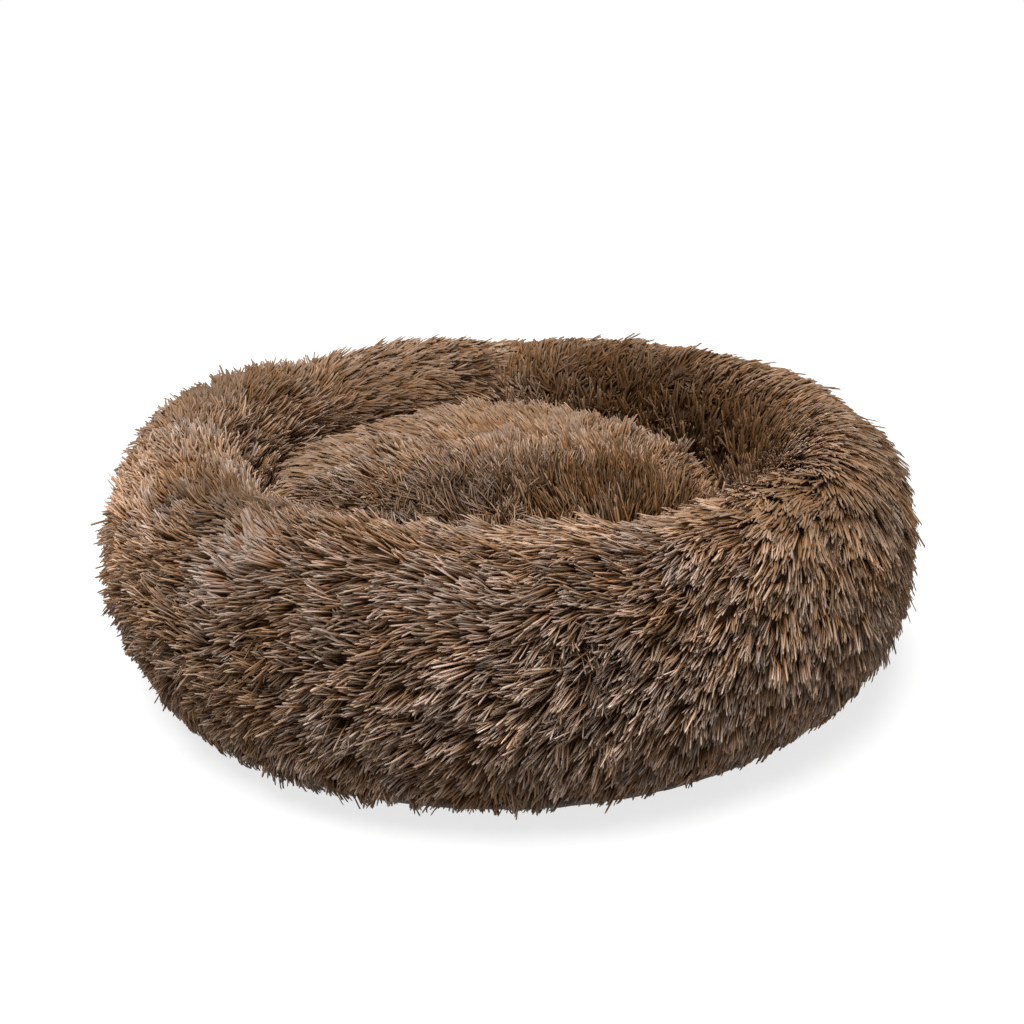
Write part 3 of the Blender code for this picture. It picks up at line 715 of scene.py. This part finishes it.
# Dark streaks lean to the golden stem's colour, as painted warm shade.
pale_fibre = shade.node("ValToRGB", {"stops": ((0.36, 0.5), (0.56, 1.0))}, {0: fibres})
dyed = shade.maths("MINIMUM", warmth, 1.0).mix(GREY_TIP, TAN_TIP)
dyed = shade.maths("MAXIMUM", warmth - 1.0, 0.0).mix(dyed, GOLDEN_TIP)
colour = depth.times((near_tip * pale_fibre).mix(GOLDEN_STEM_AND_SHADE, dyed))
((fibres * 0.9 + 0.42) * tone).times(colour).feed("Base Color")
fibres.bump(0.3, 0.0004)

PILE_LENGTH, TUFT_RADIUS, FINEST_SPACING, LOCK_SPACING = 0.0185, 0.00063, 0.0022, 0.0070
CLING_SHARE, BEND_SHARE, ROOT_DEPTH = 0.5, 0.55, 0.001
LEAST_ANGLE, LIFT_ANGLE, CURL = 10, 42, 7
BACKING_TOP, BACKING_EDGE = 0.003, 0.001

# What a tuft has by itself, and what chance adds as it drifts over the cloth, from lock to lock, and
# from tuft to tuft. Tone and length are logarithms, and headings are in degrees.
USUAL_LIFT, USUAL_TONE, USUAL_WARMTH = 0.36, 0.03, 0.65
HEADING_CHANCE, LIFT_CHANCE, LENGTH_CHANCE = (9, 9, 4), (0.07, 0.13, 0.11), (0, 0.14, 0.11)
TONE_CHANCE, WARMTH_CHANCE, PALE_IS_GREY = (0.07, 0.14, 0.45), (0.2, 0.22, 0.15), 0.25

# Which way the pile lies on each panel: its tuft spacing, and at some angles the headings at the comb's
# turns. Heading 0 lies towards the outer foot, and 90 clockwise round the ring seen from above.
COMB_TURNS = (-40, 0, 45, 90, 130, 170)
PANELS = {
    "right_back": (0.0029, ((7.5, (0, 5, 10, 20, 25, 10)), (35, (0, 5, 25, 45, 35, 10)),
                            (60, (0, 5, 20, 30, 20, 5)), (90, (0, 5, 15, 15, 5, 0)))),
    "back": (0.0026, ((90, (20, 50, 80, 95, 110, 130)), (112, (20, 50, 75, 85, 100, 115)),
                      (135, (15, 40, 60, 75, 90, 100)))),
    "left": (0.0024, ((135, (10, 30, 45, 60, 70, 90)), (160, (10, 30, 50, 62, 85, 100)),
                      (190, (15, 40, 60, 75, 80, 70)), (217.5, (20, 70, 85, 92, 90, 60)))),
    "front": (0.0022, ((217.5, (20, 70, 85, 95, 95, 70)), (245, (15, 75, 90, 95, 95, 70)),
                       (270, (15, 60, 82, 95, 95, 70)), (292.5, (10, 45, 72, 95, 90, 60)))),
    "front_right": (0.0022, ((292.5, (10, 40, 70, 95, 90, 60)), (320, (5, 20, 45, 80, 80, 40)),
                             (340, (0, 5, 20, 50, 60, 30)), (367.5, (0, 5, 10, 20, 25, 10)))),
}

# Where the pile is ruffled, worn or dyed unlike the rest, and where its tone and warmth are painted shade:
# darker and warmer on the inner walls to the right and back, where the pile faces away and shades itself,
# and darker on much of the crest's top, against the light from above. The angle and turn, how far it
# reaches round and over, and what it adds to lift, length, tone, warmth, tousle in degrees, and evenness.
RUFFLES_AND_SHADE = (
    (165, 85, 24, 45, 0.4, 0.22, -0.48, 0.2, 4, 0.9), (124, 133, 30, 50, -0.38, 0.25, 0.05, 0.1, 0, 1),
    (75, 98, 32, 30, -0.28, -0.2, -0.22, 0.3, 8, 0.5), (25, 85, 20, 35, 0.08, 0.05, -0.2, 0.4, 8, 0.5),
    (65, 135, 28, 35, 0, 0.1, -0.58, 0.6, 16, 0.4), (35, 150, 35, 30, 0.05, 0, -0.8, 0.7, 18, 0.3),
    (5, 150, 20, 30, 0.05, 0, -0.55, 0.8, 16, 0.4), (63, 97, 2.5, 10, 0.45, 0.15, -0.1, 0, 15, 0),
    (93, 130, 2.2, 60, 0, 0, 0.3, -0.5, 0, 0.5), (96, 115, 4, 55, 0, -0.55, 0, 0, 0, 0),
    (316, 80, 16, 25, -0.16, 0.1, 0.06, 0.4, 0, 0.7), (258, 88, 12, 12, 0, 0, -0.22, 0.3, 0, 0),
    (335, 60, 22, 40, 0, 0, -0.38, 0.2, 0, 0.4), (335, 10, 25, 45, 0, 0, -0.12, 0.1, 0, 0),
    (308, -30, 25, 20, -0.3, -0.35, -0.1, 0, 0, 0), (0, 75, 14, 25, 0.05, 0.05, -0.14, 0.3, 4, 0.6),
    (215, -25, 18, 20, -0.3, -0.35, -0.15, 0, 0, 0), (279, 31, 3.5, 9, 0.25, -0.1, -0.15, 0.1, 40, 0),
    (275, 92, 42, 26, -0.22, 0.25, 0.18, -0.1, 0, 0.4), (225, 95, 18, 30, -0.12, 0.12, -0.98, 0.35, 0, 0.5),
    (232, 5, 22, 30, 0.08, 0, -0.3, 0.45, 8, 0), (234, 35, 4, 20, 0, 0, 0.3, -0.85, 0, 0.3),
    (236, 62, 6, 13, 0, 0, 0.22, -0.85, 0, 0.8), (247, 63, 5, 12, 0, 0, 0.08, -0.3, 0, 0.2),
    (267, 52, 9, 14, 0, 0, 0.38, -0.6, 0, 0.2), (225, 35, 4, 40, 0, 0, -0.2, 0.4, 0, 0),
    (214.5, 66, 2.2, 9, -0.1, -0.4, -0.75, 0.3, 14, 0), (241, 25, 3, 30, 0, 0, -0.25, 0.4, 0, 0),
    (200, 60, 22, 50, 0, 0, 0.34, -0.05, 0, 0.4), (270, 0, 60, 25, 0.2, 0, 0.15, -0.35, 5, 0),
    (262, 35, 45, 30, 0, 0, -0.11, -0.12, 0, 0), (328, 60, 30, 40, -0.06, 0.25, 0, 0, 0, 0),
    (275, 15, 45, 22, 0, 0, 0.02, 0.02, 4, 0),
)


def patch_adds(patches, first, second, whole=np.inf):
    """What the patches add at each tuft, painted shade too, each falling off with distance as a bell curve.
    """
    sums = np.zeros((6, len(first)))
    for at, over, reach, over_reach, *adds in patches:
        away = np.abs(first - at)
        away = np.minimum(away, np.abs(whole - away)) / reach
        sums += np.outer(adds, np.exp(-(away ** 2) - ((second - over) / over_reach) ** 2))
    return sums


def comb_heading(comb, angle, turn):
    """The pile's heading, straight between the comb's angles and between its turns."""
    angles = [row[0] for row in comb]
    over = np.array([np.interp(angle, angles, [row[1][k] for row in comb]) for k in range(len(COMB_TURNS))])
    place = np.interp(turn, COMB_TURNS, np.arange(len(COMB_TURNS)))
    low = np.minimum(place.astype(int), len(COMB_TURNS) - 2)
    share, at = place - low, np.arange(len(angle))
    return over[low, at] * (1 - share) + over[low + 1, at] * share


def scattered_roots(line, span, turns, spacing, rng):
    """Angles and turns of roots: rows along the cloth, evenly filled, with each root moved by chance."""
    first, last = (np.interp(t, line.turns, line.run) for t in turns)
    rows = np.interp(np.arange(first, last, spacing) + spacing / 2, line.run, line.turns)
    radius = np.hypot(*(line.section(0.0, rows)[0] - [line.centre, 0, 0]).T[:2])
    counts = np.maximum(np.round(np.radians(span[1] - span[0]) * radius / spacing), 1).astype(int)
    row = np.repeat(np.arange(len(rows)), counts)
    place = np.arange(len(row)) - np.repeat(np.cumsum(counts) - counts, counts)
    chance = rng.uniform(-0.5, 0.5, (2, len(row)))
    angle = span[0] + (span[1] - span[0]) * (place + 0.5 + chance[0]) / counts[row]
    return angle, line.beside(rows[row], chance[1] * spacing)


def comb_tufts(roots, locks, heading, adds, spacing, rng):
    """Each tuft's heading, lift, length, width, step to its lock's middle, and marks for its colour.

    The nearest middle is found from the squares of the distances. A lock's tufts share one chance
    value of each kind, and every tuft adds one of its own. Pale tufts are greyer. Evenness from 0 to 1
    widens the tufts and makes them more alike, so that they close up.
    """
    near = (locks ** 2).sum(1) - 2 * (roots @ locks.T)
    lock = near.argmin(1)
    shared = rng.normal(size=(5, len(locks)))[:, lock]
    own = rng.normal(size=(6, len(roots)))
    lift_more, longer, lighter, warmer, tousle, even = adds
    even = np.clip(even, 0, 1)
    waves = drift(roots, 0.032, 15)
    wide, by_lock, by_tuft = HEADING_CHANCE
    heading = (heading + wide * drift(roots, 0.07, 11) + (by_lock + tousle) * shared[0]
               + (by_tuft + tousle / 2) * own[0])
    wide, by_lock, by_tuft = LIFT_CHANCE
    chance = (1 - 0.5 * even) * (by_lock * shared[1] + by_tuft * own[1])
    lift = USUAL_LIFT + lift_more + wide * waves + chance
    length = PILE_LENGTH * np.exp(longer + LENGTH_CHANCE[1] * shared[2] + LENGTH_CHANCE[2] * own[2])
    width = TUFT_RADIUS * spacing / FINEST_SPACING * np.exp(0.2 * own[3]) * (1 + 0.25 * even)
    wide, by_lock, by_tuft = TONE_CHANCE
    chance = (1 - 0.65 * even) * (by_lock * shared[3] + by_tuft * np.minimum(own[4], 1.0))
    tone = np.exp(lighter + USUAL_TONE - 0.3 * even + wide * waves + chance)
    wide, by_lock, by_tuft = WARMTH_CHANCE
    chance = (1 - 0.6 * even) * (by_lock * shared[4] + by_tuft * own[5] - PALE_IS_GREY * own[4])
    warmth = USUAL_WARMTH + warmer + 0.15 * even + wide * drift(roots, 0.045, 16) + chance
    marks = {"tone": tone, "warmth": np.clip(warmth, 0, 2), "even": even}
    return heading, lift, length, width, locks[lock] - roots, marks


def walk_ring(line, angle, turn, heading, distance):
    """The angle and turn after a walk along the ring's cloth."""
    radius = np.hypot(*(line.section(angle, turn)[0].T[:2]))
    ahead = angle - np.degrees(distance * np.sin(np.radians(heading)) / radius)
    return ahead, line.beside(turn, -distance * np.cos(np.radians(heading)))


def grow_strands(line, walk, angle, turn, heading, lift, length, to_lock, rng):
    """Stations along each tuft. At a share t of its length a tuft has gone t of its flat length along its
    heading, stands off the cloth by its height times t plus the bend share of t less t squared, and leans
    to its lock's middle by the cling share of t squared. Its heading turns by a chance curl on the way."""
    height = length * np.sin(np.radians(LEAST_ANGLE + LIFT_ANGLE * np.clip(lift, 0.05, 1.1)))
    flat = np.sqrt(length ** 2 - height ** 2)
    share = STRAND_SHARES[:, None]
    turned = heading + rng.normal(0, CURL, len(turn)) * (share - 0.5)
    ahead, over = walk(line, angle, turn, turned, flat * share)
    off = ROOT_DEPTH + height * (share + BEND_SHARE * (share - share ** 2))
    strands, normals = line.section(ahead, over, off)
    return strands + CLING_SHARE * (share ** 2)[..., None] * to_lock, normals


def pile_roots(line, hem, guarded, span, turns, apart, locks_apart, rng):
    """Where tufts stand, the room that each has above the slider's way, and the middles of their locks.
    Room is a length along the cloth, without limit outside the guarded angles and above their turn."""
    angle, turn = scattered_roots(line, span, turns, apart, rng)
    first, last, highest = guarded
    at_zip = (turn < highest) & (angle % 360 > first) & (angle % 360 < last)
    room = np.interp(turn, line.turns, line.run) - np.interp(hem, line.turns, line.run) - ZIP_MARGIN
    room = np.where(at_zip, room, np.inf)
    angle, turn, room = (values[room > LEAST_ROOM] for values in (angle, turn, room))
    locks = line.section(*scattered_roots(line, span, turns, locks_apart, rng))[0]
    return angle, turn, room, line.section(angle, turn)[0], locks


def clear_of_zip(length, heading, to_lock, room):
    """Lengths clipped so that no tuft's tip hangs into the slider's way. The step to the lock's middle is
    cut by the same share."""
    clipped = np.minimum(length, room / np.maximum(np.cos(np.radians(heading)), 0.05))
    return clipped, to_lock * (clipped / length)[:, None]


# Above a zip the pile leaves a margin clear, and roots with less than the least room are left out.
ZIP_MARGIN, LEAST_ROOM, ZIP_SPARE_ANGLE = 0.0018, 0.0025, 5.0
GUARDED = CHANNEL_FIRST - ZIP_SPARE_ANGLE, CHANNEL_LAST + ZIP_SPARE_ANGLE, 90
HEM_TURN, INNER_HEM_TURN = cover_zip.hem(1), ring.turn_at(0.008, inner=True)
# Each panel's pile from hem to hem: its turns, and how much sparser it is than the panel's own spacing.
# Low down the pile hugs the belly, and it ends at the floor and below the crest's top.
PILE_PARTS = {"skirt": (HEM_TURN, 25, 1), "belly": (25, 80, 1), "crest": (80, 140, 1),
              "wall": (140, 205, 1.1), "well": (205, INNER_HEM_TURN, 2.3)}
PILE_TOP, HUG_SHARE, HUG_TURN, HUG_REACH = 0.193, 0.42, -5, 35

for number, (panel, (spacing, comb)) in enumerate(PANELS.items()):
    span = comb[0][0], comb[-1][0]
    turns = np.linspace(HEM_TURN, INNER_HEM_TURN, 60)
    outer = np.full(60, BACKING_TOP)
    outer[[0, -1]] = BACKING_EDGE
    rows = layer_rows(ring, arc(span[0] + 0.05, span[1] - 0.05, 1.5), turns, outer, SEWN_GAP)
    backing = swept_piece("fur_backing_" + panel, rows, backing_finish, "bed", "fur", ["fur_panel_" + panel],
                          whole=False)
    for part, (bottom, top, sparser) in PILE_PARTS.items():
        rng = np.random.default_rng(100 * number + len(part))
        apart = spacing * sparser
        angle, turn, room, roots, locks = pile_roots(
            ring, HEM_TURN, GUARDED, span, (bottom, top), apart, LOCK_SPACING, rng)
        adds = patch_adds(RUFFLES_AND_SHADE, angle, turn, 360)
        heading, lift, length, width, to_lock, marks = comb_tufts(
            roots, locks, comb_heading(comb, angle, turn), adds, apart, rng)
        lift = lift - HUG_SHARE * np.clip((HUG_TURN - turn) / HUG_REACH, 0, 1)
        length, to_lock = clear_of_zip(length, heading, to_lock, room)
        strands, normals = grow_strands(ring, walk_ring, angle, turn, heading, lift, length, to_lock, rng)
        low = np.where(turn > 180, WELL_HIGH, 0) + rng.uniform(0.0009, 0.003, len(turn))
        strands[..., 2] = np.clip(strands[..., 2], low, PILE_TOP - low)
        name = "fur_pile_" + panel + "_" + part
        strand_piece(name, strands, normals, width, marks, fur_finish, "bed", "fur")


# The cushion's filling and inner bag: a plump round lump of fibre in two rounds of nonwoven, sewn
# together at the belly. The cushion lies loose in the well and lifts straight out.
cushion = SewnLine(middle=0.0, belly=0.100, half_width=0.162, rise=0.047, drop=0.0955, powers=(2.3, 3.0),
                   centre=-0.006)
CUSHION_ZIP_HEIGHT = 0.040
rows = stuffing_rows(cushion, np.linspace(-90, 90, 60))
piece = swept_piece("cushion_filling", rows, fill_finish, "cushion", "fill", ["cushion_fill"])
halves = (np.linspace(cushion.beside(0, half_gap), 90, 30),
          np.linspace(-90, cushion.beside(0, -half_gap), 36))
build_bag("cushion", cushion, (-70, -60, -20, -12), halves, "cushion", "cushion")


# The cushion's underside: a round of the same lining as the well's, drawn up to the seam in small
# gathers. Its zip runs round the back, and a binding covers the rest of the seam.
cushion_zip = ZipLine(cushion, CUSHION_ZIP_HEIGHT)
turns = np.linspace(-90, cushion_zip.hem(-1), 44)
angles = whole_round(2.5)[:, None]
gathers = 0.0006 * np.clip(drift(cushion.section(angles, turns)[0] * [1, 1, 0.3], 0.02, 4) / 2, -1, 0)
gathers *= np.clip((turns + 75) / 20, 0, 1)
rows = layer_rows(cushion, whole_round(2.5), turns, SEWN_GAP + WELL_HIGH - WELL_LOW + gathers, SEWN_GAP)
swept_piece("cushion_underside", rows, lining_finish, "cushion", "lining", ["cushion_lining"])
build_zip("cushion", cushion_zip, "cushion")
build_binding("cushion_binding", cushion_zip, "cushion", "cushion_seam_binding")


# The cushion's top: one round of the same faux fur. Its nap runs away to the back and to the left, so
# that from the front one looks into the pile.
CUSHION_HEM_TURN, CUSHION_GUARDED = cushion_zip.hem(1), (0, 360, 20)
CROWN_RUN = float(np.interp(90, cushion.turns, cushion.run))
# The pile's heading at some places seen from above, and where it is unlike the rest. There its tone is
# partly
# painted shade: darker and warmer low on the front, where one looks into the pile, and darker on the crown.
CUSHION_COMB = ((0.14, -0.03, 72), (0.12, 0.06, 82), (0.08, -0.08, 88), (0.04, -0.05, 98), (0, -0.08, 108),
                (-0.05, -0.05, 120), (-0.1, -0.08, 150), (-0.15, -0.03, 172), (-0.15, 0.05, 178),
                (-0.07, 0.03, 150), (-0.08, 0.1, 165), (0, 0.05, 116), (0.05, 0.03, 102),
                (0, 0.13, 112), (0.08, 0.12, 92))
CUSHION_COMB_REACH, CUSHION_LOCKS, CUSHION_CLING = 0.055, 0.0085, 1.2
CUSHION_RUFFLES_AND_SHADE = (
    (0, 0.06, 0.15, 0.1, -0.18, 0.32, -0.18, 0.1, -3, 1),
    (0.085, -0.105, 0.095, 0.055, 0.1, 0.55, -0.84, 1.3, 0, 0),
    (0, 0.135, 0.13, 0.035, 0.45, 0.1, 0, 0, -2, 0),
    (-0.03, -0.1, 0.05, 0.035, 0.1, 0, -0.45, -0.3, 30, 0),
    (-0.09, -0.09, 0.05, 0.04, 0, 0.2, -0.3, 0.3, 12, 0),
    (-0.1, -0.02, 0.03, 0.03, 0, 0.1, 0, -0.25, 0, 0.3),
    (-0.14, 0.01, 0.035, 0.08, 0.45, 0.25, -0.05, 0, 0, 0.6),
)


def walk_cushion(line, angle, turn, heading, distance):
    """The angle and turn after a walk on the cushion, laid out flat round its crown: the distance from the
    crown along the cloth and the angle are a point's polar coordinates. Heading is from +X."""
    away = CROWN_RUN - np.interp(turn, line.turns, line.run)
    x = away * np.cos(np.radians(angle)) + distance * np.cos(np.radians(heading))
    y = away * np.sin(np.radians(angle)) + distance * np.sin(np.radians(heading))
    return np.degrees(np.arctan2(y, x)), np.interp(CROWN_RUN - np.hypot(x, y), line.run, line.turns)


def comb_cushion(roots):
    """The cushion's heading: the named places' directions, added with weights that fall off with
    distance as a bell curve does."""
    places = np.array(CUSHION_COMB)
    away = np.linalg.norm(roots[:, None, :2] - places[None, :, :2], axis=-1)
    weight = np.exp(-((away / CUSHION_COMB_REACH) ** 2)) + 1e-6
    way = np.radians(places[:, 2])
    return np.degrees(np.arctan2(weight @ np.sin(way), weight @ np.cos(way)))


turns = np.linspace(CUSHION_HEM_TURN, 90, 44)
rows = layer_rows(cushion, whole_round(4.0), turns, BACKING_TOP, SEWN_GAP)
backing = swept_piece("cushion_fur_backing", rows, backing_finish, "cushion", "fur", ["cushion_fur_top"])
for part, (bottom, top, apart) in {"side": (CUSHION_HEM_TURN, 20, 0.0045), "shoulder": (20, 50, 0.0022),
                                   "crown": (50, 89.5, 0.0022)}.items():
    rng = np.random.default_rng(900 + len(part))
    angle, turn, room, roots, locks = pile_roots(
        cushion, CUSHION_HEM_TURN, CUSHION_GUARDED, (0, 360), (bottom, top), apart, CUSHION_LOCKS, rng)
    adds = patch_adds(CUSHION_RUFFLES_AND_SHADE, roots[:, 0], roots[:, 1])
    heading, lift, length, width, to_lock, marks = comb_tufts(
        roots, locks, comb_cushion(roots), adds, apart, rng)
    length, to_lock = clear_of_zip(length, heading - angle, CUSHION_CLING * to_lock, room)
    strands, normals = grow_strands(cushion, walk_cushion, angle, turn, heading, lift, length, to_lock, rng)
    strand_piece("cushion_pile_" + part, strands, normals, width, marks, fur_finish, "cushion", "fur")
